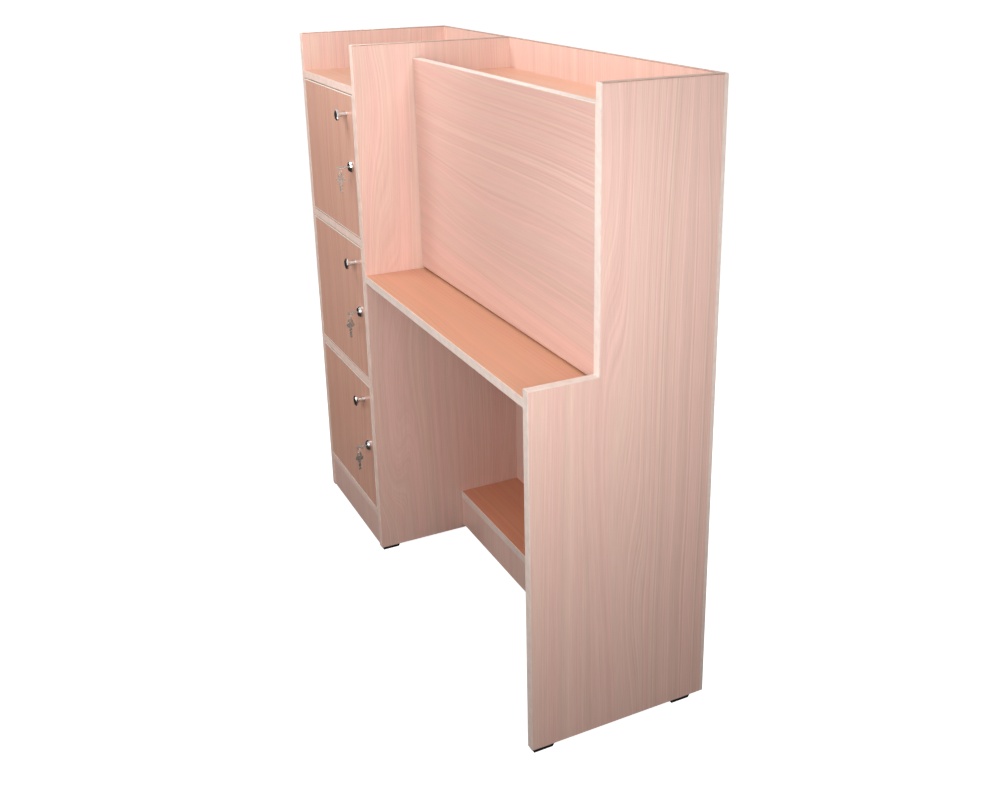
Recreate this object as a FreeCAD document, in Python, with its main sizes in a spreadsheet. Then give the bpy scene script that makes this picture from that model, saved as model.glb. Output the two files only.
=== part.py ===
"""A board study desk with a fall-front writing flap and a column of three lockers.

Millimetres. +X is to the right when facing the front, +Y goes to the back, +Z is up.
The origin is on the floor under the middle of the whole desk.
"""
import FreeCAD, Part
import os
import re

# Driving sizes
SIZES = {
    # carcass
    "desk_width": 1280,
    "side_depth": 392,
    "side_height": 1275,
    "board": 18,
    "back_thick": 8,
    "band": 2,
    "locker_width": 384,
    "tray_depth": 93,
    "plinth_top": 84,
    "plinth_gap": 2,
    "plinth_setback": 2,
    "desk_height": 737,
    "step_depth": 144,
    "hutch_tray_depth": 71,
    "foot_shelf_height": 108,
    "foot_shelf_depth": 164,
    "toe_gap": 10,
    # glide feet
    "foot_height": 7,
    "foot_length": 47,
    "foot_width": 17.4,
    "foot_side_taper": 0.5,
    "foot_end_taper": 3,
    "foot_front_inset": 2,
    "left_foot_inset": 40,
    "foot_rear_inset": 24,
    "foot_stem_radius": 3,
    "foot_stem_length": 16,
    # writing flap
    "flap_top_drop": 35,
    "flap_gap": 2,
    "flap_setback": 1,
    "flap_foot_gap": 4,
    "flap_rest_gap": 0.5,
    "flap_stop_gap": 0.3,
    "flap_nose_radius": 5,
    # locker doors
    "door_gap": 3,
    "pivot_inset": 6,
    # pivot pins and their bushes
    "pin_radius": 2.5,
    "pin_depth": 20,
    "pin_end_gap": 0.5,
    "bush_radius": 3.5,
    "bush_length": 8,
    # clearances
    "fit_clear": 0.05,
    "turn_clear": 0.05,
    "end_clear": 0.5,
    # knob
    "knob_inset": 52,
    "knob_drop": 51,
    "knob_base_radius": 5.6,
    "knob_base_thick": 1,
    "knob_stem_radius": 4.8,
    "knob_stem_length": 16.5,
    "knob_neck_radius": 5.6,
    "knob_cone_length": 3.5,
    "knob_head_radius": 13.4,
    "knob_head_thick": 3,
    "knob_face_radius": 11,
    "knob_face_rise": 1.5,
    "knob_screw_radius": 2,
    "knob_screw_reach": 9,
    "knob_screw_head_radius": 4,
    "knob_screw_head_thick": 2.4,
    # cam lock
    "lock_inset": 33,
    "bezel_radius": 13.5,
    "bezel_rim": 4,
    "bezel_dome": 4,
    "bezel_face_radius": 10.5,
    "barrel_radius": 9,
    "barrel_tail": 4,
    "plug_radius": 6,
    "plug_shoulder": 0.3,
    "tail_width": 6,
    "nut_radius": 14,
    "nut_thick": 3,
    "cam_thick": 2,
    "cam_hub_radius": 8,
    "cam_width": 12,
    "cam_reach": 27,
    "cam_screw_radius": 1.9,
    "cam_screw_depth": 6,
    "cam_screw_head_radius": 4.5,
    "cam_screw_head_thick": 2,
    "strike_thick": 2,
    "strike_reach": 12,
    "strike_length": 22,
    "strike_height": 28,
    "strike_clear": 0.3,
    # keys and key rings
    "key_thick": 2,
    "key_neck": 7,
    "key_blade_width": 6,
    "key_blade_depth": 19,
    "bitting_start": 6,
    "bitting_pitch": 4,
    "bitting_width": 1.8,
    "bitting_depth": 1,
    "bow_length": 21,
    "bow_lobe_radius": 6,
    "bow_lobe_offset": 4,
    "key_hole_radius": 3.2,
    "key_hole_rim": 2.4,
    "keyway_clear": 0.2,
    "ring_radius": 9.05,
    "ring_wire_radius": 0.65,
    "hang_gap": 0.15,
    # dowels and cam fittings of the board joints
    "dowel_radius": 4,
    "dowel_length": 30,
    "joint_seat": 8.5,
    "joint_front": 70,
    "joint_rear": 140,
    "joint_pitch": 32,
    "narrow_joint_inset": 45,
    "narrow_joint_pitch": 25,
    "hutch_joint_inset": 55,
    "rail_dowel_inset": 18,
    "fitting_offset": 34,
    "fitting_radius": 7.5,
    "fitting_depth": 12.5,
    "fitting_bolt_radius": 3,
    "fitting_head_radius": 4,
    "fitting_head_length": 3,
    # screws of the back panel
    "back_screw_radius": 2,
    "back_screw_length": 28,
    "back_screw_head_radius": 4,
    "back_screw_head_thick": 2.2,
    "back_screw_inset": 176,
    "back_screw_desk_inset": 170,
    # magnetic catches of the flap
    "catch_inset": 120,
    "catch_width": 40,
    "catch_depth": 14,
    "catch_height": 12,
    "catch_plate_thick": 1,
    "catch_clear": 0.2,
    # screws of the strikes and catches, and the cross slots of all screw heads
    "fixing_screw_radius": 1.5,
    "fixing_screw_depth": 10,
    "fixing_screw_head_radius": 3,
    "fixing_screw_head_thick": 1.6,
    "strike_screw_inset": 14,
    "strike_screw_spread": 8,
    "catch_screw_spread": 13,
    "recess_length": 4.2,
    "recess_width": 1,
    "recess_depth": 1.2,
}

# Places that follow from the sizes
PLACES = {
    "left_x": "0 - desk_width / 2",
    "locker_x": "left_x + board",
    "divider_x": "locker_x + locker_width",
    "bay_x": "divider_x + board",
    "right_x": "desk_width / 2",
    "bay_end_x": "right_x - board",
    "bezel_height": "bezel_rim + bezel_dome",
    "key_reach": "bezel_height + key_hole_y + bow_lobe_offset + bow_lobe_radius",
    "front_y": "0 - (side_depth + back_thick - key_reach) / 2",
    "rear_y": "front_y + side_depth",
    "back_y": "rear_y + back_thick",
    "base_z": "foot_height",
    "top_z": "base_z + side_height",
    "bottom_shelf_z": "base_z + plinth_top",
    "locker_opening": "(side_height - tray_depth - plinth_top - 4 * board) / 3",
    "lower_opening_z": "bottom_shelf_z + board",
    "lower_shelf_z": "lower_opening_z + locker_opening",
    "middle_opening_z": "lower_shelf_z + board",
    "upper_shelf_z": "middle_opening_z + locker_opening",
    "upper_opening_z": "upper_shelf_z + board",
    "top_shelf_z": "upper_opening_z + locker_opening",
    "desk_top_z": "base_z + desk_height",
    "desk_z": "desk_top_z - board",
    "step_z": "desk_top_z + flap_rest_gap + board",
    "step_y": "front_y + step_depth",
    "flap_x": "bay_x + flap_gap",
    "flap_end_x": "bay_end_x - flap_gap",
    "flap_y": "step_y + flap_setback",
    "flap_back_y": "flap_y + board",
    "flap_z": "desk_top_z + flap_foot_gap",
    "flap_top_z": "top_z - flap_top_drop",
    "flap_pivot_y": "flap_y + board / 2",
    "flap_pivot_z": "desk_top_z + flap_rest_gap + board / 2",
    "hutch_y": "flap_back_y + flap_stop_gap",
    "hutch_shelf_z": "top_z - hutch_tray_depth - board",
    "foot_shelf_z": "base_z + foot_shelf_height - board",
    "foot_shelf_y": "rear_y - foot_shelf_depth",
    "door_x": "locker_x + door_gap",
    "door_end_x": "divider_x - door_gap",
    "door_back_y": "front_y + board",
    "pivot_x": "door_x + pivot_inset",
    "pivot_y": "front_y + pivot_inset",
    "knob_x": "divider_x - knob_inset",
    "lock_x": "divider_x - lock_inset",
    "plug_front_y": "front_y - bezel_height",
    "barrel_end_y": "door_back_y + barrel_tail",
    "plug_end_y": "barrel_end_y + plug_shoulder",
    "cam_back_y": "plug_end_y + cam_thick",
    "key_hole_y": "key_neck + bow_length - key_hole_rim - key_hole_radius",
    "bow_end_y": "key_neck + bow_length - bow_lobe_radius",
    "rim_width": "sqrt(pow(bow_lobe_radius; 2) - pow(key_hole_y - bow_end_y; 2)) - key_hole_radius",
    "rim_x": "key_hole_radius + rim_width / 2",
    "ring_inner": "ring_radius - ring_wire_radius - hang_gap",
    "ring_drop": "sqrt(pow(ring_inner; 2) - pow(rim_width / 2; 2)) - key_thick / 2",
    "spare_drop": "ring_drop + ring_radius + key_hole_radius - ring_wire_radius - hang_gap",
}

FUNCTIONS = ("sqrt", "pow")
UPRIGHT = FreeCAD.Rotation()
ALONG_X = FreeCAD.Rotation(FreeCAD.Vector(0, 1, 0), 90)
ALONG_Y = FreeCAD.Rotation(FreeCAD.Vector(1, 0, 0), -90)
HANGING = FreeCAD.Rotation(FreeCAD.Vector(0, -1, 0), FreeCAD.Vector(0, 0, -1), FreeCAD.Vector(1, 0, 0), "XYZ")

doc = FreeCAD.newDocument("study_desk")
sheet = doc.addObject("Spreadsheet::Sheet", "Sizes")
for row, (alias, value) in enumerate(SIZES.items(), start=1):
    sheet.set(f"A{row}", alias)
    sheet.set(f"B{row}", str(value))
    sheet.setAlias(f"B{row}", alias)
doc.recompute()

nodes = []
bores = {}


def formula(text):
    """Write a formula of sizes and places as an expression on the sheet."""
    def expand(match):
        word = match.group(0)
        if word in FUNCTIONS:
            return word
        if word in PLACES:
            return "(" + formula(PLACES[word]) + ")"
        if word in SIZES:
            return "Sizes." + word
        raise NameError(word)
    return re.sub(r"[a-z_]+[a-z]", expand, str(text))


def bind(item, **settings):
    """Bind properties of an object to formulas."""
    for name, text in settings.items():
        item.setExpression(name, formula(text))
    return item


def place(item, x, y, z, turn=UPRIGHT):
    """Turn an object and bind its position."""
    item.Placement = FreeCAD.Placement(FreeCAD.Vector(), turn)
    for axis, text in zip("xyz", (x, y, z)):
        item.setExpression(f"Placement.Base.{axis}", formula(text))
    return item


def block(name, x, y, z):
    """A box between two formulas on each axis."""
    item = doc.addObject("Part::Box", name)
    bind(item, Length=f"({x[1]}) - ({x[0]})", Width=f"({y[1]}) - ({y[0]})", Height=f"({z[1]}) - ({z[0]})")
    return place(item, x[0], y[0], z[0])


def rod(name, start, length, radius, turn=UPRIGHT):
    """A round bar from its start point, along the turned Z axis."""
    item = doc.addObject("Part::Cylinder", name)
    bind(item, Radius=radius, Height=length)
    return place(item, *start, turn)


def taper(name, start, length, radius, end_radius, turn=UPRIGHT):
    """A round bar whose radius changes evenly."""
    item = doc.addObject("Part::Cone", name)
    bind(item, Radius1=radius, Radius2=end_radius, Height=length)
    return place(item, *start, turn)


def join(name, items):
    """One solid out of several that meet."""
    item = doc.addObject("Part::MultiFuse", name)
    item.Shapes = items
    return item


def cut(name, base, tools):
    """A solid with every tool taken out of it."""
    item = doc.addObject("Part::Cut", name)
    item.Base = base
    item.Tool = tools[0] if len(tools) == 1 else join(name + "_tools", tools)
    return item


def group(name, items):
    """Separate solids that share a node."""
    item = doc.addObject("Part::Compound", name)
    item.Links = items
    return item


def cross_recess(name, face, axis, facing):
    """Two crossed slots in a screw head, sunk from the middle of its outer face along an axis number."""
    outer = face[axis]
    depth = (f"{outer} - recess_depth", outer) if facing > 0 else (outer, f"{outer} + recess_depth")
    across = [number for number in range(3) if number != axis]
    slots = []
    for wide, narrow in (across, across[::-1]):
        spans = {axis: depth}
        spans[wide] = (f"{face[wide]} - recess_length / 2", f"{face[wide]} + recess_length / 2")
        spans[narrow] = (f"{face[narrow]} - recess_width / 2", f"{face[narrow]} + recess_width / 2")
        slots.append(block(f"{name}_slot_{wide}", spans[0], spans[1], spans[2]))
    return slots


def keep(name, item):
    """Name a finished sub-part."""
    item.Label = name
    nodes.append(item)
    return item


def bore(tool, *names):
    """Note a hole for each named piece it goes through."""
    for name in names:
        bores.setdefault(name, []).append(tool)


def keep_bored(name, blank):
    """Finish a piece by drilling the holes that were noted for it."""
    if name in bores:
        blank = cut(name + "_bored", blank, bores[name])
    return keep(name, blank)


# Boards before drilling, and their edge bands
blanks = {}
locker_bands = []
desk_bands = []
top_bands = []


def board_blanks():
    """Uprights, back, shelves, desktop and rails."""
    inner_top = "top_z - band"
    below_top = ("base_z", inner_top)
    depth = ("front_y + band", "rear_y")
    blanks["left_side_panel"] = block("left_side", ("left_x", "locker_x"), depth, below_top)
    blanks["divider_panel"] = block("divider", ("divider_x", "bay_x"), depth, below_top)
    whole = block("right_side_whole", ("bay_end_x", "right_x"), depth, below_top)
    notch = block("right_side_notch", ("bay_end_x", "right_x"), ("front_y", "step_y + band"),
                  ("step_z - band", "top_z"))
    blanks["right_side_panel"] = cut("right_side", whole, [notch])
    blanks["back_panel"] = block("back", ("left_x + band", "right_x - band"), ("rear_y", "back_y"), below_top)
    locker = ("locker_x", "divider_x")
    for name in ("bottom", "lower", "upper", "top"):
        low = f"{name}_shelf_z"
        blanks[f"locker_{name}_shelf"] = block(f"{name}_shelf", locker, depth, (low, f"{low} + board"))
    face = "front_y + plinth_setback"
    blanks["locker_plinth"] = block("plinth", locker, (face, f"{face} + board"),
                                    ("base_z + plinth_gap", "bottom_shelf_z"))
    bay = ("bay_x", "bay_end_x")
    blanks["desktop"] = block("desk", bay, depth, ("desk_z", "desk_top_z"))
    blanks["hutch_shelf"] = block("hutch", bay, ("hutch_y + band", "rear_y"),
                                  ("hutch_shelf_z", "hutch_shelf_z + board"))
    blanks["foot_shelf"] = block("foot_rest", bay, ("foot_shelf_y + band", "rear_y"),
                                 ("foot_shelf_z", "foot_shelf_z + board"))
    blanks["toe_panel"] = block("toe", bay, ("foot_shelf_y + band", "foot_shelf_y + band + board"),
                                ("base_z + toe_gap", "foot_shelf_z"))


def carcass_bands():
    """Edge strips on the visible edges of the carcass boards."""
    front = ("front_y", "front_y + band")
    cap = ("top_z - band", "top_z")
    for name, x in (("left", ("left_x", "locker_x")), ("divider", ("divider_x", "bay_x"))):
        locker_bands.append(block(f"{name}_front_band", x, front, ("base_z", "top_z")))
        top_bands.append(block(f"{name}_top_band", x, ("front_y + band", "rear_y"), cap))
    for name in ("bottom", "lower", "upper", "top"):
        low = f"{name}_shelf_z"
        strip = block(f"{name}_shelf_band", ("locker_x", "divider_x"), front, (low, f"{low} + board"))
        locker_bands.append(strip)
    side = ("bay_end_x", "right_x")
    bay = ("bay_x", "bay_end_x")
    desk_bands.append(block("right_front_band", side, front, ("base_z", "step_z - band")))
    desk_bands.append(block("step_band", side, ("front_y", "step_y"), ("step_z - band", "step_z")))
    desk_bands.append(block("upper_front_band", side, ("step_y", "step_y + band"),
                            ("step_z - band", "top_z")))
    top_bands.append(block("right_top_band", side, ("step_y + band", "rear_y"), cap))
    desk_bands.append(block("desk_band", bay, front, ("desk_z", "desk_top_z")))
    desk_bands.append(block("hutch_band", bay, ("hutch_y", "hutch_y + band"),
                            ("hutch_shelf_z", "hutch_shelf_z + board")))
    desk_bands.append(block("foot_rest_band", bay, ("foot_shelf_y", "foot_shelf_y + band"),
                            ("foot_shelf_z", "foot_shelf_z + board")))
    back = ("rear_y", "back_y")
    full = ("base_z", "top_z")
    desk_bands.append(block("back_left_band", ("left_x", "left_x + band"), back, full))
    desk_bands.append(block("back_right_band", ("right_x - band", "right_x"), back, full))
    top_bands.append(block("back_top_band", ("left_x + band", "right_x - band"), back, cap))


def banded_panel(name, x, y, z):
    """A board with a strip on each of its four edges: returns the core and the strips."""
    inner_x = (f"{x[0]} + band", f"{x[1]} - band")
    core = block(f"{name}_core", inner_x, y, (f"{z[0]} + band", f"{z[1]} - band"))
    strips = [
        block(f"{name}_left_band", (x[0], f"{x[0]} + band"), y, z),
        block(f"{name}_right_band", (f"{x[1]} - band", x[1]), y, z),
        block(f"{name}_bottom_band", inner_x, y, (z[0], f"{z[0]} + band")),
        block(f"{name}_top_band", inner_x, y, (f"{z[1]} - band", z[1])),
    ]
    return core, strips


bushes = []


def bush(name, start, turn):
    """A plain sleeve, flush with the face it is let into."""
    sleeve = rod(f"{name}_sleeve", start, "bush_length", "bush_radius", turn)
    hole = rod(f"{name}_hole", start, "bush_length", "pin_radius + turn_clear", turn)
    bushes.append(cut(name, sleeve, [hole]))
    return rod(f"{name}_seat", start, "bush_length", "bush_radius + fit_clear", turn)


# Locker doors
def door(name):
    """One door with its bands, pivot pins, knob, lock and keys."""
    low = f"{name}_opening_z"
    high = f"{low} + locker_opening"
    door_low = f"{low} + door_gap"
    door_high = f"{high} - door_gap"
    core, strips = banded_panel(f"{name}_door", ("door_x", "door_end_x"), ("front_y", "door_back_y"),
                                (door_low, door_high))
    panel = f"{name}_door_panel"
    edges = f"{name}_door_edge_bands"
    shelves = {"lower": ("bottom", "lower"), "middle": ("lower", "upper"), "upper": ("upper", "top")}[name]
    door_pivots(name, low, high, door_low, door_high, shelves, (panel, edges))
    knob(name, f"{high} - knob_drop", panel)
    lock(name, f"{low} + locker_opening / 2", panel)
    keep_bored(panel, core)
    keep_bored(edges, group(f"{name}_door_strips", strips))


def door_pivots(name, low, high, door_low, door_high, shelves, pieces):
    """Steel pins in the door's top and bottom edges, turning in bushes in the shelves."""
    length = "pin_depth + door_gap + bush_length - pin_end_gap"
    below = ("pivot_x", "pivot_y", f"{low} - bush_length + pin_end_gap")
    above = ("pivot_x", "pivot_y", f"{door_high} - pin_depth")
    pins = [rod(f"{name}_lower_pin", below, length, "pin_radius"),
            rod(f"{name}_upper_pin", above, length, "pin_radius")]
    keep(f"{name}_door_pivot_pins", group(f"{name}_door_pins", pins))
    hole = "pin_radius + fit_clear"
    deep = "pin_depth + end_clear"
    lower_hole = ("pivot_x", "pivot_y", door_low)
    upper_hole = ("pivot_x", "pivot_y", f"{door_high} - ({deep})")
    bore(rod(f"{name}_lower_pin_hole", lower_hole, deep, hole), *pieces)
    bore(rod(f"{name}_upper_pin_hole", upper_hole, deep, hole), *pieces)
    seat = bush(f"{name}_lower_bush", ("pivot_x", "pivot_y", f"{low} - bush_length"), UPRIGHT)
    bore(seat, f"locker_{shelves[0]}_shelf")
    seat = bush(f"{name}_upper_bush", ("pivot_x", "pivot_y", high), UPRIGHT)
    bore(seat, f"locker_{shelves[1]}_shelf")


def knob(name, z, panel):
    """A mushroom knob, held by a screw from inside the door."""
    def at(y):
        return ("knob_x", y, z)
    stem_end = "front_y - knob_base_thick - knob_stem_length"
    cone_end = f"{stem_end} - knob_cone_length"
    head_end = f"{cone_end} - knob_head_thick"
    base = rod(f"{name}_knob_base", at("front_y - knob_base_thick"), "knob_base_thick", "knob_base_radius",
               ALONG_Y)
    stem = rod(f"{name}_knob_stem", at(stem_end), "knob_stem_length", "knob_stem_radius", ALONG_Y)
    cone = taper(f"{name}_knob_cone", at(cone_end), "knob_cone_length", "knob_head_radius",
                 "knob_neck_radius", ALONG_Y)
    head = rod(f"{name}_knob_head", at(head_end), "knob_head_thick", "knob_head_radius", ALONG_Y)
    face = taper(f"{name}_knob_face", at(f"{head_end} - knob_face_rise"), "knob_face_rise",
                 "knob_face_radius", "knob_head_radius", ALONG_Y)
    hole_radius = "knob_screw_radius + fit_clear"
    hole = rod(f"{name}_knob_hole", at("front_y - knob_screw_reach - end_clear"),
               "knob_screw_reach + end_clear + board", hole_radius, ALONG_Y)
    whole = join(f"{name}_knob_whole", [base, stem, cone, head, face])
    keep(f"{name}_door_knob", cut(f"{name}_knob_drilled", whole, [hole]))
    shank = rod(f"{name}_knob_screw_shank", at("front_y - knob_screw_reach"), "knob_screw_reach + board",
                "knob_screw_radius", ALONG_Y)
    screw_head = rod(f"{name}_knob_screw_head", at("door_back_y"), "knob_screw_head_thick",
                     "knob_screw_head_radius", ALONG_Y)
    slots = cross_recess(f"{name}_knob_screw", at("door_back_y + knob_screw_head_thick"), 1, 1)
    screw = join(f"{name}_knob_screw_whole", [shank, screw_head])
    door_fasteners[name] = [cut(f"{name}_knob_screw", screw, slots)]
    bore(hole, panel)


door_fasteners = {}
fixing_screws = []
strikes = []


def lock(name, z, panel):
    """A cam lock in the door, with its nut, strike, keys and key ring."""
    def at(y):
        return ("lock_x", y, z)
    lock_housing(name, at, panel)
    lock_plug(name, at, z)
    lock_cam(name, at, z)
    lock_strike(name, z)
    lock_keys(name, z)


def lock_housing(name, at, panel):
    """Domed bezel on the door's face, and the barrel that the nut holds behind the door."""
    barrel_length = "board + barrel_tail"
    dome = taper(f"{name}_bezel_dome", at("plug_front_y"), "bezel_dome", "bezel_face_radius", "bezel_radius",
                 ALONG_Y)
    rim = rod(f"{name}_bezel_rim", at("front_y - bezel_rim"), "bezel_rim", "bezel_radius", ALONG_Y)
    barrel = rod(f"{name}_barrel", at("front_y"), barrel_length, "barrel_radius", ALONG_Y)
    hole = rod(f"{name}_plug_bore", at("plug_front_y"), f"bezel_height + {barrel_length}",
               "plug_radius + turn_clear", ALONG_Y)
    whole = join(f"{name}_housing_whole", [dome, rim, barrel])
    keep(f"{name}_lock_housing", cut(f"{name}_housing", whole, [hole]))
    clear_hole = rod(f"{name}_barrel_hole", at("front_y"), barrel_length, "barrel_radius + fit_clear",
                     ALONG_Y)
    bore(clear_hole, panel)
    nut = doc.addObject("Part::Prism", f"{name}_nut_whole")
    nut.Polygon = 6
    bind(nut, Circumradius="nut_radius", Height="nut_thick")
    place(nut, *at("door_back_y"), ALONG_Y)
    door_fasteners[name].append(cut(f"{name}_nut", nut, [clear_hole]))
    keep(f"{name}_door_fasteners", group(f"{name}_fasteners", door_fasteners[name]))


def lock_plug(name, at, z):
    """The turning plug, with its keyway in front and a square tail for the cam behind."""
    body = rod(f"{name}_plug_body", at("plug_front_y"), "plug_end_y - plug_front_y", "plug_radius", ALONG_Y)
    half = "tail_width / 2"
    tail = block(f"{name}_plug_tail", (f"lock_x - {half}", f"lock_x + {half}"), ("plug_end_y", "cam_back_y"),
                 (f"{z} - {half}", f"{z} + {half}"))
    slot_x = "(key_blade_width / 2 + keyway_clear)"
    slot_z = "(key_thick / 2 + keyway_clear)"
    keyway = block(f"{name}_keyway", (f"lock_x - {slot_x}", f"lock_x + {slot_x}"),
                   ("plug_front_y", "plug_front_y + key_blade_depth + end_clear"),
                   (f"{z} - {slot_z}", f"{z} + {slot_z}"))
    screw_hole = rod(f"{name}_cam_screw_hole", at("plug_end_y - cam_screw_depth - end_clear"),
                     "cam_screw_depth + end_clear + cam_thick", "cam_screw_radius + fit_clear", ALONG_Y)
    whole = join(f"{name}_plug_whole", [body, tail])
    keep(f"{name}_lock_plug", cut(f"{name}_plug", whole, [keyway, screw_hole]))


def lock_cam(name, at, z):
    """The cam on the plug's tail, upright when unlocked, and the screw that holds it."""
    hub = rod(f"{name}_cam_hub", at("plug_end_y"), "cam_thick", "cam_hub_radius", ALONG_Y)
    thick = ("plug_end_y", "cam_back_y")
    arm = block(f"{name}_cam_arm", ("lock_x - cam_width / 2", "lock_x + cam_width / 2"), thick,
                (z, f"{z} + cam_reach"))
    half = "(tail_width / 2 + fit_clear)"
    hole = block(f"{name}_cam_hole", (f"lock_x - {half}", f"lock_x + {half}"), thick,
                 (f"{z} - {half}", f"{z} + {half}"))
    cam = cut(f"{name}_cam", join(f"{name}_cam_whole", [hub, arm]), [hole])
    shank = rod(f"{name}_cam_screw_shank", at("plug_end_y - cam_screw_depth"), "cam_screw_depth + cam_thick",
                "cam_screw_radius", ALONG_Y)
    head = rod(f"{name}_cam_screw_head", at("cam_back_y"), "cam_screw_head_thick", "cam_screw_head_radius",
               ALONG_Y)
    slots = cross_recess(f"{name}_cam_screw", at("cam_back_y + cam_screw_head_thick"), 1, 1)
    screw = cut(f"{name}_cam_screw", join(f"{name}_cam_screw_whole", [shank, head]), slots)
    keep(f"{name}_lock_cam", group(f"{name}_cam_set", [cam, screw]))


def fixing_screw(name, start, grip, turn, axis, facing):
    """A pan-head screw from its head's outer face through the gripped thickness; returns its hole."""
    neck = list(start)
    neck[axis] = f"{start[axis]} + fixing_screw_head_thick"
    length = f"{grip} + fixing_screw_depth"
    head = rod(f"{name}_head", start, "fixing_screw_head_thick", "fixing_screw_head_radius", turn)
    shank = rod(f"{name}_shank", neck, length, "fixing_screw_radius", turn)
    whole = join(f"{name}_whole", [head, shank])
    fixing_screws.append(cut(name, whole, cross_recess(name, start, axis, facing)))
    return rod(f"{name}_hole", neck, f"{length} + end_clear", "fixing_screw_radius + fit_clear", turn)


def lock_strike(name, z):
    """An angle bracket on the divider: the cam turns in behind it, and the door closes against it."""
    flange_y = "door_back_y + strike_clear"
    height = (f"{z} - strike_height / 2", f"{z} + strike_height / 2")
    flange = block(f"{name}_strike_flange", ("divider_x - strike_reach", "divider_x"),
                   (flange_y, f"{flange_y} + strike_thick"), height)
    leaf = block(f"{name}_strike_leaf", ("divider_x - strike_thick", "divider_x"),
                 (flange_y, f"{flange_y} + strike_length"), height)
    holes = []
    for end, step in (("upper", "+"), ("lower", "-")):
        head = ("divider_x - strike_thick - fixing_screw_head_thick", f"{flange_y} + strike_screw_inset",
                f"{z} {step} strike_screw_spread")
        hole = fixing_screw(f"{name}_strike_{end}_screw", head, "strike_thick", ALONG_X, 0, -1)
        holes.append(hole)
        bore(hole, "divider_panel")
    strikes.append(cut(f"{name}_strike", join(f"{name}_strike_whole", [flange, leaf]), holes))


def key_blank(name):
    """A flat key about its shoulder: blade towards +Y, clover bow towards -Y, thin along Z."""
    low = "0 - key_thick / 2"
    blade = block(f"{name}_blade", ("0 - key_blade_width / 2", "key_blade_width / 2"),
                  ("0 - key_neck - bow_lobe_radius", "key_blade_depth"), (low, "key_thick / 2"))
    lobe_y = "0 - key_neck - bow_lobe_radius"
    lobes = [
        rod(f"{name}_left_lobe", ("0 - bow_lobe_offset", lobe_y, low), "key_thick", "bow_lobe_radius"),
        rod(f"{name}_right_lobe", ("bow_lobe_offset", lobe_y, low), "key_thick", "bow_lobe_radius"),
        rod(f"{name}_end_lobe", ("0", "0 - bow_end_y", low), "key_thick", "bow_lobe_radius"),
    ]
    cuts = [rod(f"{name}_hole", ("0", "0 - key_hole_y", low), "key_thick", "key_hole_radius")]
    edges = (("left", ("0 - key_blade_width / 2", "bitting_depth - key_blade_width / 2")),
             ("right", ("key_blade_width / 2 - bitting_depth", "key_blade_width / 2")))
    for number in range(3):
        start = f"bitting_start + {number} * bitting_pitch"
        for edge, x in edges:
            cuts.append(block(f"{name}_{edge}_notch_{number}", x, (start, f"{start} + bitting_width"),
                              (low, "key_thick / 2")))
    return cut(name, join(f"{name}_whole", [blade] + lobes), cuts)


def lock_keys(name, z):
    """The key in the lock, a ring on the rim of its bow and the spare key that hangs from the ring."""
    key = key_blank(f"{name}_key")
    keep(f"{name}_lock_key", place(key, "lock_x", "plug_front_y", z))
    ring_y = "plug_front_y - key_hole_y"
    ring = doc.addObject("Part::Torus", f"{name}_ring")
    bind(ring, Radius1="ring_radius", Radius2="ring_wire_radius")
    keep(f"{name}_key_ring", place(ring, "lock_x + rim_x", ring_y, f"{z} - ring_drop", ALONG_Y))
    spare = key_blank(f"{name}_spare")
    shoulder_z = f"{z} - spare_drop - key_hole_y"
    keep(f"{name}_spare_key", place(spare, "lock_x + rim_x", ring_y, shoulder_z, HANGING))


# Writing flap
def flap():
    """The fall-front flap, its bands, pivot pins and catch plates."""
    x = ("flap_x", "flap_end_x")
    core, strips = banded_panel("flap", x, ("flap_y", "flap_back_y"), ("flap_z", "flap_top_z"))
    corner = block("flap_corner", x, ("flap_y", "flap_y + flap_nose_radius"),
                   ("flap_z", "flap_z + flap_nose_radius"))
    nose = rod("flap_nose", ("flap_x", "flap_y + flap_nose_radius", "flap_z + flap_nose_radius"),
               "flap_end_x - flap_x", "flap_nose_radius", ALONG_X)
    bore(cut("flap_rounding", corner, [nose]), "flap_panel", "flap_edge_bands")
    flap_pivots()
    flap_catches()
    keep_bored("flap_panel", core)
    keep_bored("flap_edge_bands", group("flap_strips", strips))


def flap_pivots():
    """Steel pins in the flap's ends, turning in bushes in the divider and the right side."""
    def at(x):
        return (x, "flap_pivot_y", "flap_pivot_z")
    length = "pin_depth + flap_gap + bush_length - pin_end_gap"
    pins = [rod("flap_left_pin", at("bay_x - bush_length + pin_end_gap"), length, "pin_radius", ALONG_X),
            rod("flap_right_pin", at("flap_end_x - pin_depth"), length, "pin_radius", ALONG_X)]
    keep("flap_pivot_pins", group("flap_pins", pins))
    deep = "pin_depth + end_clear"
    hole = "pin_radius + fit_clear"
    bore(rod("flap_left_pin_hole", at("flap_x"), deep, hole, ALONG_X), "flap_panel", "flap_edge_bands")
    bore(rod("flap_right_pin_hole", at(f"flap_end_x - ({deep})"), deep, hole, ALONG_X),
         "flap_panel", "flap_edge_bands")
    bore(bush("flap_left_bush", at("bay_x - bush_length"), ALONG_X), "divider_panel")
    bore(bush("flap_right_bush", at("bay_end_x"), ALONG_X), "right_side_panel")


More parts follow.
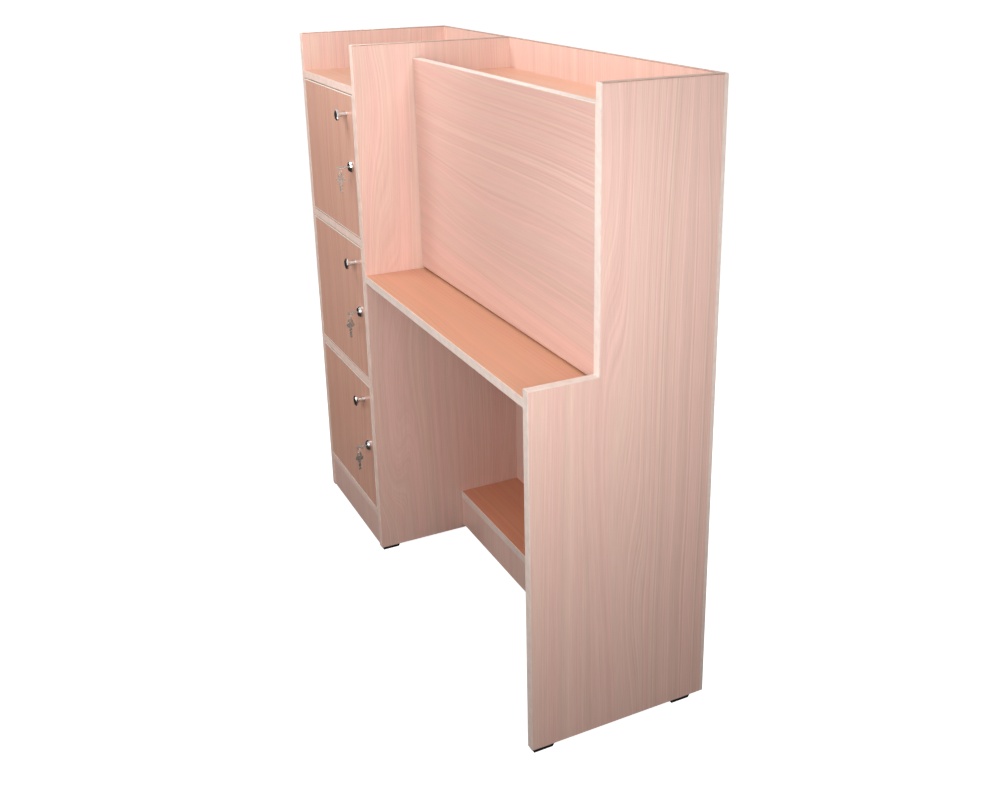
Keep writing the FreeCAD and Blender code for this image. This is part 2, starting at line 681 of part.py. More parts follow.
def flap_catches():
    """Magnetic catches under the hutch shelf and the plates on the flap that they hold."""
    catches = []
    plates = []
    z = ("hutch_shelf_z - catch_height", "hutch_shelf_z")
    plate_end = "flap_back_y + catch_plate_thick"
    catch_y = f"{plate_end} + catch_clear"
    for side, middle in (("left", "bay_x + catch_inset"), ("right", "bay_end_x - catch_inset")):
        x = (f"{middle} - catch_width / 2", f"{middle} + catch_width / 2")
        body = block(f"{side}_catch_body", x, (catch_y, f"{catch_y} + catch_depth"), z)
        holes = []
        for end, step in (("left", "-"), ("right", "+")):
            head = (f"{middle} {step} catch_screw_spread", f"{catch_y} + catch_depth / 2",
                    f"{z[0]} - fixing_screw_head_thick")
            holes.append(fixing_screw(f"{side}_catch_{end}_screw", head, "catch_height", UPRIGHT, 2, -1))
            bore(holes[-1], "hutch_shelf")
        catches.append(cut(f"{side}_catch", body, holes))
        plates.append(block(f"{side}_catch_plate", x, ("flap_back_y", plate_end), z))
    keep("flap_catches", group("catch_set", catches))
    keep("flap_catch_plates", group("catch_plate_set", plates))


# Joints of the boards
dowels = []
fittings = []


def dowel(name, plane, y, z, inward, pieces):
    """A dowel across the joint at an X plane; inward is 1 where the shelf lies towards +X."""
    seat = "joint_seat" if inward > 0 else "(dowel_length - joint_seat)"
    start = f"{plane} - {seat}"
    dowels.append(rod(name, (start, y, z), "dowel_length", "dowel_radius", ALONG_X))
    hole = rod(f"{name}_hole", (f"{start} - end_clear / 2", y, z), "dowel_length + end_clear",
               "dowel_radius + fit_clear", ALONG_X)
    bore(hole, *pieces)


def cam_fitting(name, plane, y, low, inward, side, shelf):
    """A bolt in the upright and the round cam housing in the shelf that draws it tight."""
    z = f"{low} + board / 2"
    reach = "fitting_offset"
    head = "fitting_head_length"
    if inward > 0:
        bolt_x = f"{plane} - joint_seat"
        head_x = f"{plane} + {reach} - {head}"
        clear_x = plane
        thread_x = f"{plane} - joint_seat - end_clear / 2"
        centre = f"{plane} + {reach}"
    else:
        bolt_x = f"{plane} - {reach}"
        head_x = bolt_x
        clear_x = f"{plane} - {reach} - end_clear"
        thread_x = plane
        centre = f"{plane} - {reach}"
    shank = rod(f"{name}_shank", (bolt_x, y, z), f"joint_seat + {reach}", "fitting_bolt_radius", ALONG_X)
    knob_end = rod(f"{name}_head", (head_x, y, z), head, "fitting_head_radius", ALONG_X)
    channel = rod(f"{name}_channel", (clear_x, y, z), f"{reach} + end_clear",
                  "fitting_head_radius + fit_clear", ALONG_X)
    thread = rod(f"{name}_thread", (thread_x, y, z), "joint_seat + end_clear / 2",
                 "fitting_bolt_radius + fit_clear", ALONG_X)
    drum = rod(f"{name}_drum", (centre, y, low), "fitting_depth", "fitting_radius")
    seat = rod(f"{name}_seat", (centre, y, low), "fitting_depth + fit_clear", "fitting_radius + fit_clear")
    fittings.append(join(f"{name}_bolt", [shank, knob_end]))
    slots = cross_recess(f"{name}_drum", (centre, y, low), 2, -1)
    fittings.append(cut(f"{name}_housing", drum, [channel] + slots))
    bore(thread, side)
    bore(channel, shelf)
    bore(seat, shelf)


def shelf_joints(shelf, low, ends, stations, pitch):
    """Cam fittings and dowels at both ends of a shelf."""
    for end, (plane, side, inward) in zip(("left", "right"), ends):
        for number, (y, step) in enumerate(stations):
            name = f"{shelf}_{end}_{number}"
            cam_fitting(f"{name}_cam", plane, y, low, inward, side, shelf)
            dowel(f"{name}_dowel", plane, f"{y} {step} {pitch}", f"{low} + board / 2", inward, (side, shelf))


def rail_dowels(rail, y, low, high, ends):
    """Two dowels at each end of a rail that stands under a shelf."""
    for end, (plane, side, inward) in zip(("left", "right"), ends):
        dowel(f"{rail}_{end}_low_dowel", plane, y, f"{low} + rail_dowel_inset", inward, (side, rail))
        dowel(f"{rail}_{end}_high_dowel", plane, y, f"{high} - rail_dowel_inset", inward, (side, rail))


def board_joints():
    """Dowels and fittings of every shelf and rail."""
    locker_ends = (("locker_x", "left_side_panel", 1), ("divider_x", "divider_panel", -1))
    bay_ends = (("bay_x", "divider_panel", 1), ("bay_end_x", "right_side_panel", -1))
    deep = (("front_y + joint_front", "+"), ("rear_y - joint_rear", "-"))
    for name in ("bottom", "lower", "upper", "top"):
        shelf_joints(f"locker_{name}_shelf", f"{name}_shelf_z", locker_ends, deep, "joint_pitch")
    shelf_joints("desktop", "desk_z", bay_ends, deep, "joint_pitch")
    hutch = (("hutch_y + hutch_joint_inset", "+"), ("rear_y - hutch_joint_inset", "-"))
    shelf_joints("hutch_shelf", "hutch_shelf_z", bay_ends, hutch, "joint_pitch")
    narrow = (("foot_shelf_y + narrow_joint_inset", "+"), ("rear_y - narrow_joint_inset", "-"))
    shelf_joints("foot_shelf", "foot_shelf_z", bay_ends, narrow, "narrow_joint_pitch")
    rail_dowels("locker_plinth", "front_y + plinth_setback + board / 2", "base_z + plinth_gap",
                "bottom_shelf_z", locker_ends)
    rail_dowels("toe_panel", "foot_shelf_y + band + board / 2", "base_z + toe_gap", "foot_shelf_z", bay_ends)


def back_screws():
    """Countersunk screws through the back into the uprights and the desktop."""
    spots = []
    uprights = (("left_side_panel", "left_x + board / 2"), ("divider_panel", "divider_x + board / 2"),
                ("right_side_panel", "right_x - board / 2"))
    for piece, x in uprights:
        for level in ("base_z + back_screw_inset", "base_z + side_height / 2", "top_z - back_screw_inset"):
            spots.append((piece, x, level))
    spots.append(("desktop", "bay_x + back_screw_desk_inset", "desk_z + board / 2"))
    spots.append(("desktop", "bay_end_x - back_screw_desk_inset", "desk_z + board / 2"))
    shank_length = "back_screw_length + back_thick - back_screw_head_thick"
    for number, (piece, x, z) in enumerate(spots):
        name = f"back_screw_{number}"
        tip = (x, "rear_y - back_screw_length", z)
        neck = (x, "back_y - back_screw_head_thick", z)
        shank = rod(f"{name}_shank", tip, shank_length, "back_screw_radius", ALONG_Y)
        head = taper(f"{name}_head", neck, "back_screw_head_thick", "back_screw_radius",
                     "back_screw_head_radius", ALONG_Y)
        slots = cross_recess(name, (x, "back_y", z), 1, 1)
        fixing_screws.append(cut(name, join(f"{name}_whole", [shank, head]), slots))
        hole = rod(f"{name}_hole", (x, "rear_y - back_screw_length - end_clear", z),
                   "back_screw_length + end_clear + back_thick", "back_screw_radius + fit_clear", ALONG_Y)
        sink = taper(f"{name}_sink", neck, "back_screw_head_thick", "back_screw_radius + fit_clear",
                     "back_screw_head_radius + fit_clear", ALONG_Y)
        bore(hole, piece, "back_panel")
        bore(sink, "back_panel")


def glide_feet():
    """Tapered plastic glides with a stem, two under each upright."""
    feet = []
    uprights = (("left_side_panel", "left_x + board / 2", "left_foot_inset"),
                ("divider_panel", "divider_x + board / 2", "foot_front_inset"),
                ("right_side_panel", "right_x - board / 2", "foot_front_inset"))
    for piece, x, inset in uprights:
        spots = (("front", f"front_y + {inset}"), ("rear", "rear_y - foot_rear_inset - foot_length"))
        for spot, y in spots:
            name = f"{piece}_{spot}_foot"
            pad = doc.addObject("Part::Wedge", f"{name}_pad")
            bind(pad, Xmin="0", Xmax="foot_width", Zmin="0", Zmax="foot_length", Ymin="0", Ymax="foot_height",
                 X2min="foot_side_taper", X2max="foot_width - foot_side_taper",
                 Z2min="foot_end_taper", Z2max="foot_length - foot_end_taper")
            place(pad, f"{x} - foot_width / 2", y, "base_z", ALONG_Y)
            middle = (x, f"{y} + foot_length / 2", "base_z")
            stem = rod(f"{name}_stem", middle, "foot_stem_length", "foot_stem_radius")
            feet.append(join(name, [pad, stem]))
            hole = rod(f"{name}_hole", middle, "foot_stem_length + end_clear", "foot_stem_radius + fit_clear")
            bore(hole, piece)
    keep("glide_feet", group("foot_set", feet))


board_blanks()
carcass_bands()
for door_name in ("upper", "middle", "lower"):
    door(door_name)
flap()
board_joints()
back_screws()
glide_feet()
for board_name, blank in blanks.items():
    keep_bored(board_name, blank)
keep("locker_edge_bands", group("locker_band_set", locker_bands))
keep("desk_edge_bands", group("desk_band_set", desk_bands))
keep("top_edge_bands", group("top_band_set", top_bands))
keep("pivot_bushes", group("bush_set", bushes))
keep("lock_strikes", group("strike_set", strikes))
keep("fixing_screws", group("fixing_screw_set", fixing_screws))
keep("joint_dowels", group("dowel_set", dowels))
keep("cam_fittings", group("fitting_set", fittings))
doc.recompute()

for item in doc.Objects:
    faults = {"Invalid", "Error"} & set(item.State)
    if faults:
        raise RuntimeError(f"{item.Label} did not compute")
for item in nodes:
    if item.Shape.isNull() or not item.Shape.isValid() or not item.Shape.Solids:
        raise RuntimeError(f"{item.Label} has no valid solid")

os.makedirs("parts", exist_ok=True)
for item in nodes:
    item.Shape.exportStep(f"parts/{item.Label}.step")
print(len(nodes), "sub-parts,", sum(len(item.Shape.Solids) for item in nodes), "solids")
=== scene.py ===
import math
import bpy
from mathutils import Matrix, Vector


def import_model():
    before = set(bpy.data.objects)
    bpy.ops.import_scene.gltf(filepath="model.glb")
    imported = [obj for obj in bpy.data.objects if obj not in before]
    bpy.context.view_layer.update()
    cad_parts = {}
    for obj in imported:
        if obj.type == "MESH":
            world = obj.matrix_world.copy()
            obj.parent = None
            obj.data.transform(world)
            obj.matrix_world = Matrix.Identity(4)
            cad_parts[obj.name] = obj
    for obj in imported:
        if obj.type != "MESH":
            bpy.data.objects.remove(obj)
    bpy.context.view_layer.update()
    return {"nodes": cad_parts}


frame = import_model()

nodes = frame["nodes"]
scene = bpy.context.scene
MM = 0.001
DOORS = ("upper", "middle", "lower")

# Colours, linear
SIDE_WOOD = (0.742, 0.530, 0.462)
FLAP_WOOD = (0.643, 0.422, 0.361)
# The foot shelf's laminate is darker and more saturated: painted shade and warm bounce under the desktop
FOOT_WOOD_WITH_PAINTED_SHADE = (0.570, 0.252, 0.149)
DOOR_WOOD = (0.677, 0.397, 0.301)
# The desktop and tray boards are the same laminate as the uprights, tinted more orange: painted warm light
# falling on their tops
LEDGE_WOOD_WITH_PAINTED_LIGHT = (0.625, 0.328, 0.211)
TRAY_WOOD_WITH_PAINTED_LIGHT = (0.655, 0.372, 0.256)
PORE = (0.40, 0.22, 0.16)
BAND_LIGHT = (0.79, 0.66, 0.595)
BAND_DARK = (0.70, 0.58, 0.515)
# Door bands are paler than the other bands: partly the cream plastic, partly a painted highlight where they
# catch the light
DOOR_BAND_LIGHT_WITH_PAINTED_HIGHLIGHT = (0.95, 0.86, 0.78)
DOOR_BAND_DARK_WITH_PAINTED_HIGHLIGHT = (0.88, 0.78, 0.70)
# Shelf bands are darker than the door bands: partly their colour, partly painted shade on the edges set
# back behind the doors
SHELF_BAND_LIGHT_WITH_PAINTED_SHADE = (0.82, 0.62, 0.54)
SHELF_BAND_DARK_WITH_PAINTED_SHADE = (0.72, 0.54, 0.46)
TOP_BAND_LIGHT = (0.52, 0.34, 0.27)
TOP_BAND_DARK = (0.42, 0.26, 0.20)
BAND_DIRT = (0.50, 0.38, 0.31)
PINK_CAST = (1.0, 0.955, 0.965)
BEIGE_CAST = (0.99, 1.0, 0.985)

# Width of the laminate's broad bands and of its colour bands, in metres
BAND_WIDTH = 0.022
HUE_WIDTH = 0.034

# Figure that the level boards share
LEVEL_FIGURE = {"sweep": 0.05, "tilt": 0.0, "arch": 0.02, "pitch": 10 * MM, "depth": 0.5}

# Rounding of arrises
WELD_REACH = 0.002 * MM
ROUND_ANGLE = math.radians(40)

# Where a knob's satin stem begins, in metres
KNOB_STEM_FRONT = -0.20105
KNOB_STEM_BACK = -0.19855


class Graph:
    """A material's node tree with short ways to add and link nodes."""

    def __init__(self, name):
        self.material = bpy.data.materials.new(name)
        self.material.use_nodes = True
        self.tree = self.material.node_tree
        self.shader = self.tree.nodes["Principled BSDF"]

    def add(self, kind, settings=None, **inputs):
        item = self.tree.nodes.new(kind)
        for key, value in (settings or {}).items():
            setattr(item, key, value)
        for key, value in inputs.items():
            self.feed(item, key.replace("_", " "), value)
        return item

    def feed(self, item, socket, value):
        target = item.inputs[int(socket)] if socket.isdigit() else item.inputs[socket]
        if isinstance(value, bpy.types.NodeSocket):
            self.tree.links.new(value, target)
        else:
            target.default_value = value

    def math(self, operation, first, second=0.0):
        item = self.add("ShaderNodeMath", {"operation": operation})
        self.feed(item, "0", first)
        self.feed(item, "1", second)
        return item.outputs[0]

    def noise(self, vector, scale, detail=4.0, roughness=0.5):
        item = self.add("ShaderNodeTexNoise", Vector=vector, Scale=scale, Detail=detail,
                        Roughness=roughness)
        return item.outputs["Fac"]

    def stretched(self, vector, scale):
        item = self.add("ShaderNodeMapping", Vector=vector, Scale=scale)
        return item.outputs["Vector"]

    def ramp(self, value, stops):
        item = self.add("ShaderNodeValToRGB", Fac=value)
        points = item.color_ramp.elements
        while len(points) < len(stops):
            points.new(1.0)
        for point, (place, colour) in zip(points, stops):
            point.position = place
            point.color = (*colour, 1.0)
        return item.outputs["Color"]

    def span(self, value, low, high):
        item = self.add("ShaderNodeMapRange", Value=value, To_Min=low, To_Max=high)
        return item.outputs["Result"]

    def smooth(self, value, low, high):
        """0 below low, 1 above high, with a soft step between."""
        item = self.add("ShaderNodeMapRange", {"interpolation_type": "SMOOTHSTEP"}, Value=value,
                        From_Min=low, From_Max=high)
        return item.outputs["Result"]

    def mix(self, factor, first, second, blend="MIX"):
        item = self.add("ShaderNodeMix", {"data_type": "RGBA", "blend_type": blend})
        self.feed(item, "0", factor)
        self.feed(item, "6", first)
        self.feed(item, "7", second)
        return item.outputs[2]

    def lines(self, phase, detail, roughness):
        """Unevenly spaced lines across the rising phase."""
        item = self.add("ShaderNodeTexNoise", {"noise_dimensions": "1D"}, W=phase, Scale=1.0, Detail=detail,
                        Roughness=roughness)
        return item.outputs["Fac"]

    def arris(self, radius):
        """How near the surface is to a sharp edge: 0 on the flat, rising towards the edge."""
        rounded = self.add("ShaderNodeBevel", {"samples": 6}, Radius=radius).outputs["Normal"]
        flat = self.add("ShaderNodeNewGeometry").outputs["True Normal"]
        match = self.add("ShaderNodeVectorMath", {"operation": "DOT_PRODUCT"})
        self.feed(match, "0", rounded)
        self.feed(match, "1", flat)
        return self.math("SUBTRACT", 1.0, match.outputs["Value"])

    def bump(self, height, strength, distance):
        item = self.add("ShaderNodeBump", Height=height, Strength=strength, Distance=distance)
        self.feed(self.shader, "Normal", item.outputs["Normal"])

    def place(self):
        return self.add("ShaderNodeTexCoord").outputs["Object"]


def rgba(colour):
    return (*colour, 1.0)


# Materials
def laminate(name, axis, wood, shift, sweep, tilt, arch, pitch, depth, fibres):
    """Printed beech laminate: fine growth lines with arched spots, fibres, short pores and arrises that
    darken towards the edge.

    The grain runs along the axis. Its lines wander sideways by about the sweep, lean by the tilt, bow out
    by the arch, lie about the pitch apart and stand out by the depth. The fibres give short streaks.
    """
    g = Graph(name)
    moved = g.add("ShaderNodeMapping", Vector=g.place(), Location=shift).outputs["Vector"]
    along = "XYZ".index(axis)

    def grain(across, length):
        scale = [across] * 3
        scale[along] = length
        return g.stretched(moved, scale)

    split = g.add("ShaderNodeSeparateXYZ", Vector=moved)
    others = [out for place, out in enumerate(split.outputs) if place != along]
    lean = g.math("MULTIPLY", split.outputs[along], tilt)
    side = g.math("ADD", g.math("ADD", others[0], others[1]), lean)
    wander = g.math("MULTIPLY", g.noise(grain(2.2, 0.8), 1.0, 1.0, 0.4), sweep)
    bowed = g.math("MULTIPLY", g.smooth(g.noise(grain(5.5, 1.2), 1.0, 0.5, 0.4), 0.52, 0.78), arch)
    place = g.math("ADD", g.math("ADD", side, wander), bowed)
    growth = g.lines(g.math("DIVIDE", place, pitch / 2), 3.0, 0.55)
    fibre = g.noise(grain(420.0, 12.0), 1.0, 3.0, 0.6)
    broad = g.lines(g.math("DIVIDE", place, BAND_WIDTH), 1.0, 0.5)
    pore = g.noise(grain(1000.0, 40.0), 1.0, 2.0, 0.5)
    strong = g.smooth(g.noise(grain(6.0, 0.7), 1.0, 2.0, 0.5), 0.40, 0.62)
    tone = g.math("MULTIPLY", g.math("SUBTRACT", growth, 0.5), g.span(strong, 0.5 * depth, depth))
    tone = g.math("ADD", tone, g.math("MULTIPLY", g.math("SUBTRACT", fibre, 0.5), fibres))
    tone = g.math("ADD", tone, g.math("MULTIPLY", broad, 0.18))
    light = tuple(part * 1.16 for part in wood)
    dark = tuple(part * less for part, less in zip(wood, (0.84, 0.78, 0.755)))
    base = g.ramp(g.math("ADD", tone, 0.23), ((0.12, dark), (0.52, light)))
    hue = g.lines(g.math("DIVIDE", g.math("ADD", place, 7.0), HUE_WIDTH), 1.0, 0.5)
    cast = g.ramp(hue, ((0.40, PINK_CAST), (0.60, BEIGE_CAST)))
    base = g.mix(1.0, base, cast, "MULTIPLY")
    marks = g.math("SUBTRACT", 1.0, g.smooth(pore, 0.30, 0.40))
    flecked = g.mix(g.math("MULTIPLY", marks, 0.07), base, rgba(PORE))
    # Darker towards the arrises, mixed towards the pore colour
    arris_darkening = g.math("MULTIPLY", g.arris(1.2 * MM), 0.6)
    g.feed(g.shader, "Base Color", g.mix(arris_darkening, flecked, rgba(PORE)))
    g.feed(g.shader, "Roughness", g.span(fibre, 0.27, 0.31))
    g.shader.inputs["Specular IOR Level"].default_value = 0.40
    g.bump(fibre, 0.03, 0.0003)
    return g.material


def edge_band(name, light, dark):
    """Plastic edge strip: faint mottling, fine lines from trimming, and dulled, slightly dirty spots."""
    g = Graph(name)
    spot = g.place()
    mottle = g.noise(spot, 60.0, 5.0, 0.6)
    fine = g.noise(spot, 900.0, 3.0, 0.5)
    base = g.ramp(mottle, ((0.30, dark), (0.62, light)))
    dirt = g.ramp(g.noise(spot, 14.0, 6.0, 0.7), ((0.62, (0.0, 0.0, 0.0)), (0.78, (1.0, 1.0, 1.0))))
    g.feed(g.shader, "Base Color", g.mix(g.math("MULTIPLY", dirt, 0.35), base, rgba(BAND_DIRT)))
    g.feed(g.shader, "Roughness", g.span(mottle, 0.34, 0.52))
    g.bump(fine, 0.10, 0.0003)
    return g.material


def metal(name, colour, low, high, scale, satin=0.0, plating=1.0):
    """Plated metal with uneven polish and fine scratches.

    Satin roughens it behind a knob's head, and plating under 1 dulls it.
    """
    g = Graph(name)
    spot = g.place()
    cloud = g.noise(spot, scale, 5.0, 0.6)
    scratch = g.noise(g.stretched(spot, (3.0, 1.0, 0.3)), 1800.0, 2.0, 0.5)
    shade = tuple(part * 0.86 for part in colour)
    g.feed(g.shader, "Base Color", g.ramp(cloud, ((0.3, shade), (0.7, colour))))
    g.shader.inputs["Metallic"].default_value = plating
    polish = g.span(cloud, low, high)
    if satin:
        forward = g.add("ShaderNodeSeparateXYZ", Vector=spot).outputs["Y"]
        stem = g.smooth(forward, KNOB_STEM_FRONT, KNOB_STEM_BACK)
        polish = g.math("ADD", polish, g.math("MULTIPLY", stem, satin))
    g.feed(g.shader, "Roughness", polish)
    g.bump(scratch, 0.05, 0.0001)
    return g.material


def plastic(name, colour, low, high):
    """Moulded plastic with a fine grain and scuffs."""
    g = Graph(name)
    spot = g.place()
    grain = g.noise(spot, 1400.0, 2.0, 0.5)
    scuff = g.noise(spot, 70.0, 6.0, 0.7)
    worn = tuple(min(1.0, part * 1.4 + 0.01) for part in colour)
    g.feed(g.shader, "Base Color", g.ramp(scuff, ((0.45, colour), (0.8, worn))))
    g.feed(g.shader, "Roughness", g.span(scuff, low, high))
    g.shader.inputs["Specular IOR Level"].default_value = 0.2
    g.bump(grain, 0.15, 0.0002)
    return g.material


def bare_beech():
    """Unfinished beech of the dowels."""
    g = Graph("beech")
    fibre = g.noise(g.stretched(g.place(), (20.0, 700.0, 700.0)), 1.0, 4.0, 0.6)
    g.feed(g.shader, "Base Color", g.ramp(fibre, ((0.3, (0.42, 0.24, 0.12)), (0.7, (0.66, 0.44, 0.25)))))
    g.feed(g.shader, "Roughness", g.span(fibre, 0.6, 0.8))
    g.bump(fibre, 0.3, 0.0003)
    return g.material


side_board = laminate("laminate_side", "Z", SIDE_WOOD, (3.1, 1.7, 0.4), sweep=0.08, tilt=0.0, arch=0.05,
                      pitch=7 * MM, depth=0.55, fibres=0.28)
door_board = laminate("laminate_door", "Z", DOOR_WOOD, (5.7, 0.9, 2.2), sweep=0.05, tilt=0.0, arch=0.03,
                      pitch=8 * MM, depth=1.1, fibres=0.34)
flap_board = laminate("laminate_flap", "X", FLAP_WOOD, (0.3, 2.6, 5.2), sweep=0.13, tilt=0.04, arch=0.018,
                      pitch=12 * MM, depth=0.60, fibres=0.20)
# Ledge and tray laminates: lit copies of the laminate, more orange with painted light from above
ledge_board_with_painted_light = laminate("laminate_ledge_with_painted_light", "X", LEDGE_WOOD_WITH_PAINTED_LIGHT, (1.9, 4.4, 2.3), **LEVEL_FIGURE, fibres=0.06)
# Foot laminate: a shaded copy of the laminate, with painted shade under the desktop
foot_board_with_painted_shade = laminate("laminate_foot_with_painted_shade", "X", FOOT_WOOD_WITH_PAINTED_SHADE, (2.4, 3.1, 1.3), **LEVEL_FIGURE, fibres=0.06)
tray_board_with_painted_light = laminate("laminate_tray_with_painted_light", "X", TRAY_WOOD_WITH_PAINTED_LIGHT, (4.2, 0.7, 3.8), **LEVEL_FIGURE, fibres=0.10)
band = edge_band("edge_band", BAND_LIGHT, BAND_DARK)
# Door band material: paler, with a painted highlight
door_band_with_painted_highlight = edge_band("door_band_with_painted_highlight", DOOR_BAND_LIGHT_WITH_PAINTED_HIGHLIGHT, DOOR_BAND_DARK_WITH_PAINTED_HIGHLIGHT)
# Shelf band material: darker, with painted shade of the set-back edges
shelf_band_with_painted_shade = edge_band("shelf_band_with_painted_shade", SHELF_BAND_LIGHT_WITH_PAINTED_SHADE, SHELF_BAND_DARK_WITH_PAINTED_SHADE)
top_band = edge_band("top_band", TOP_BAND_LIGHT, TOP_BAND_DARK)
chrome = metal("chrome", (0.62, 0.62, 0.63), 0.08, 0.18, 160.0)
knob_chrome = metal("knob_chrome", (0.74, 0.73, 0.73), 0.06, 0.14, 160.0, 0.30)
nickel = metal("nickel", (0.54, 0.52, 0.48), 0.20, 0.36, 220.0, 0.0, 0.68)
steel = metal("steel", (0.58, 0.58, 0.57), 0.28, 0.45, 90.0)
black = plastic("black_plastic", (0.010, 0.010, 0.011), 0.55, 0.75)
white = plastic("white_plastic", (0.74, 0.74, 0.72), 0.35, 0.5)
beech = bare_beech()


def dress(material, *names):
    """Give nodes one material."""
    for name in names:
        mesh = nodes[name].data
        mesh.materials.clear()
        mesh.materials.append(material)


def soften(width, *names):
    """Round the arrises of nodes."""
    for name in names:
        weld = nodes[name].modifiers.new("weld", "WELD")
        weld.merge_threshold = WELD_REACH
        bevel = nodes[name].modifiers.new("round", "BEVEL")
        bevel.width = width
        bevel.segments = 3
        bevel.limit_method = "ANGLE"
        bevel.angle_limit = ROUND_ANGLE
        bevel.harden_normals = True


dress(side_board, "left_side_panel", "divider_panel", "right_side_panel", "back_panel", "locker_plinth",
      "toe_panel")
dress(ledge_board_with_painted_light, "desktop")
dress(foot_board_with_painted_shade, "foot_shelf")
dress(tray_board_with_painted_light, "hutch_shelf")
dress(tray_board_with_painted_light, *(f"locker_{level}_shelf" for level in ("top", "upper", "lower", "bottom")))
dress(flap_board, "flap_panel")
door_edges = [f"{door}_door_edge_bands" for door in DOORS]
dress(band, "desk_edge_bands", "flap_edge_bands")
dress(door_band_with_painted_highlight, *door_edges)
dress(shelf_band_with_painted_shade, "locker_edge_bands")
dress(top_band, "top_edge_bands")
soften(0.6 * MM, *door_edges, "flap_edge_bands", "locker_edge_bands", "top_edge_bands")
dress(black, "glide_feet")
soften(0.8 * MM, "glide_feet")
dress(beech, "joint_dowels")
dress(white, "pivot_bushes", "flap_catches")
dress(steel, "cam_fittings", "lock_strikes", "fixing_screws", "flap_pivot_pins", "flap_catch_plates")
soften(0.4 * MM, "lock_strikes", "flap_catches", "flap_catch_plates")
for door in DOORS:
    dress(door_board, f"{door}_door_panel")
    dress(steel, f"{door}_door_pivot_pins", f"{door}_door_fasteners", f"{door}_lock_cam")
    dress(knob_chrome, f"{door}_door_knob")
    dress(chrome, f"{door}_lock_housing", f"{door}_lock_plug")
    dress(nickel, f"{door}_lock_key", f"{door}_spare_key", f"{door}_key_ring")
    soften(0.3 * MM, f"{door}_lock_key", f"{door}_spare_key")

# Floor, light and camera
FLOOR_HALF = 40.0
AMBIENT = 0.063
FLOOR_GLOW = 0.98
FLOOR_SEEN = (0.30, 0.30, 0.30)
FLOOR_BOUNCE = (0.12, 0.06, 0.035)


def quad(name, corners, material):
    """One flat stage piece, which isn't part of the object."""
    mesh = bpy.data.meshes.new(name)
    mesh.from_pydata(corners, [], [(0, 1, 2, 3)])
    mesh.materials.append(material)
    item = bpy.data.objects.new(name, mesh)
    scene.collection.objects.link(item)
    return item


def floor():
    """A pale floor that stays white around the object and keeps its shadow."""
    g = Graph("floor")
    g.shader.inputs["Roughness"].default_value = 0.9
    g.shader.inputs["Emission Color"].default_value = (1.0, 1.0, 1.0, 1.0)
    path = g.add("ShaderNodeLightPath")
    seen = g.math("MAXIMUM", path.outputs["Is Camera Ray"], path.outputs["Is Glossy Ray"])
    seen = g.math("MAXIMUM", seen, path.outputs["Is Transmission Ray"])
    g.feed(g.shader, "Emission Strength", g.math("MULTIPLY", seen, FLOOR_GLOW))
    g.feed(g.shader, "Base Color", g.mix(seen, rgba(FLOOR_BOUNCE), rgba(FLOOR_SEEN)))
    half = FLOOR_HALF
    quad("floor", [(-half, -half, 0), (half, -half, 0), (half, half, 0), (-half, half, 0)], g.material)


def dark_card(name, corners):
    """A dark card out of the picture that only shiny surfaces reflect."""
    g = Graph(name)
    g.shader.inputs["Base Color"].default_value = (0.02, 0.02, 0.02, 1.0)
    g.shader.inputs["Roughness"].default_value = 0.9
    item = quad(name, corners, g.material)
    item.visible_camera = False
    item.visible_diffuse = False
    item.visible_shadow = False


def lamp(name, place, aim, size, power, glare=True):
    """A soft round lamp. Without glare, shiny surfaces don't show it."""
    light = bpy.data.lights.new(name, "AREA")
    light.shape = "DISK"
    light.size = size
    light.energy = power
    item = bpy.data.objects.new(name, light)
    item.location = place
    item.rotation_euler = (Vector(aim) - Vector(place)).to_track_quat("-Z", "Y").to_euler()
    item.visible_camera = False
    item.visible_glossy = glare
    scene.collection.objects.link(item)


def world():
    """Even studio surround: soft light on the object, white where the camera or a reflection sees it."""
    item = bpy.data.worlds.new("studio")
    scene.world = item
    item.use_nodes = True
    tree = item.node_tree
    background = tree.nodes["Background"]
    background.inputs["Color"].default_value = (1.0, 1.0, 1.0, 1.0)
    path = tree.nodes.new("ShaderNodeLightPath")
    seen = path.outputs["Is Camera Ray"]
    for ray in ("Is Glossy Ray", "Is Transmission Ray"):
        either = tree.nodes.new("ShaderNodeMath")
        either.operation = "MAXIMUM"
        tree.links.new(seen, either.inputs[0])
        tree.links.new(path.outputs[ray], either.inputs[1])
        seen = either.outputs[0]
    strength = tree.nodes.new("ShaderNodeMapRange")
    strength.inputs["To Min"].default_value = AMBIENT
    strength.inputs["To Max"].default_value = 1.0
    tree.links.new(seen, strength.inputs["Value"])
    tree.links.new(strength.outputs["Result"], background.inputs["Strength"])


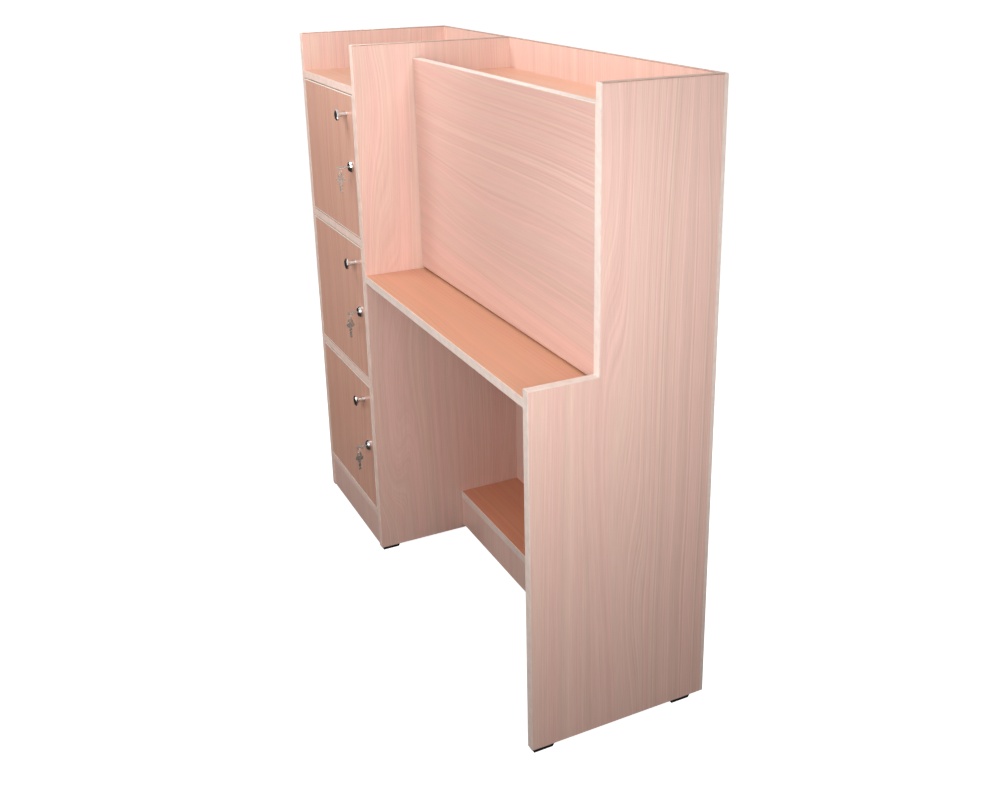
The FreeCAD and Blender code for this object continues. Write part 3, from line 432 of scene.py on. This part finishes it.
def camera():
    """The photograph's viewpoint, lens and framing."""
    data = bpy.data.cameras.new("camera")
    data.sensor_fit = "HORIZONTAL"
    data.sensor_width = 36.0
    data.lens = 40.272
    data.shift_x = -0.03473
    data.shift_y = -0.09066
    item = bpy.data.objects.new("camera", data)
    scene.collection.objects.link(item)
    right = Vector((0.45441, 0.89072, -0.01088))
    down = Vector((0.27922, -0.15403, -0.94779))
    forward = Vector((-0.8459, 0.42765, -0.3187))
    turn = Matrix((right, -down, -forward)).transposed().to_4x4()
    item.matrix_world = Matrix.Translation((2.24385, -0.97393, 1.5154)) @ turn
    scene.camera = item


floor()
dark_card("side_card", [(-1.0, -1.5, 0.01), (-1.0, -0.18, 0.01), (-1.0, -0.18, 1.25), (-1.0, -1.5, 1.25)])
dark_card("floor_card", [(-3.0, -3.0, 0.002), (3.0, -3.0, 0.002), (3.0, 3.0, 0.002), (-3.0, 3.0, 0.002)])
lamp("front", (0.6, -1.6, 1.3), (0.1, 0.0, 0.8), 0.8, 8.2)
lamp("front_high", (0.9, -1.5, 1.75), (0.1, 0.0, 0.9), 0.8, 12.6)
lamp("overhead", (0.1, -0.4, 2.7), (0.1, 0.0, 0.7), 1.2, 4.1)
lamp("right", (1.4, -0.27, 0.97), (0.64, 0.0, 0.8), 0.5, 3.5, False)
lamp("right_top", (1.3, -0.3, 1.45), (0.64, 0.05, 1.0), 0.5, 2.1, False)
lamp("knee", (2.0, -0.55, 0.9), (-0.2, 0.0, 0.6), 0.6, 9.8, False)
lamp("locker", (-0.4, -0.7, 1.9), (-0.4, 0.0, 1.2), 0.6, 8.2)
lamp("low_door", (-0.9, -1.2, 0.6), (-0.45, -0.2, 0.3), 0.6, 4.0)
lamp("hutch", (0.45, 0.12, 1.8), (-0.33, 0.12, 1.22), 0.3, 3.2, False)
lamp("back", (0.0, 2.4, 1.2), (0.0, 0.2, 0.6), 1.5, 45.0)
lamp("left", (-2.4, 0.2, 1.1), (-0.64, 0.0, 0.6), 1.2, 26.0)
world()
camera()
scene.view_settings.view_transform = "Standard"
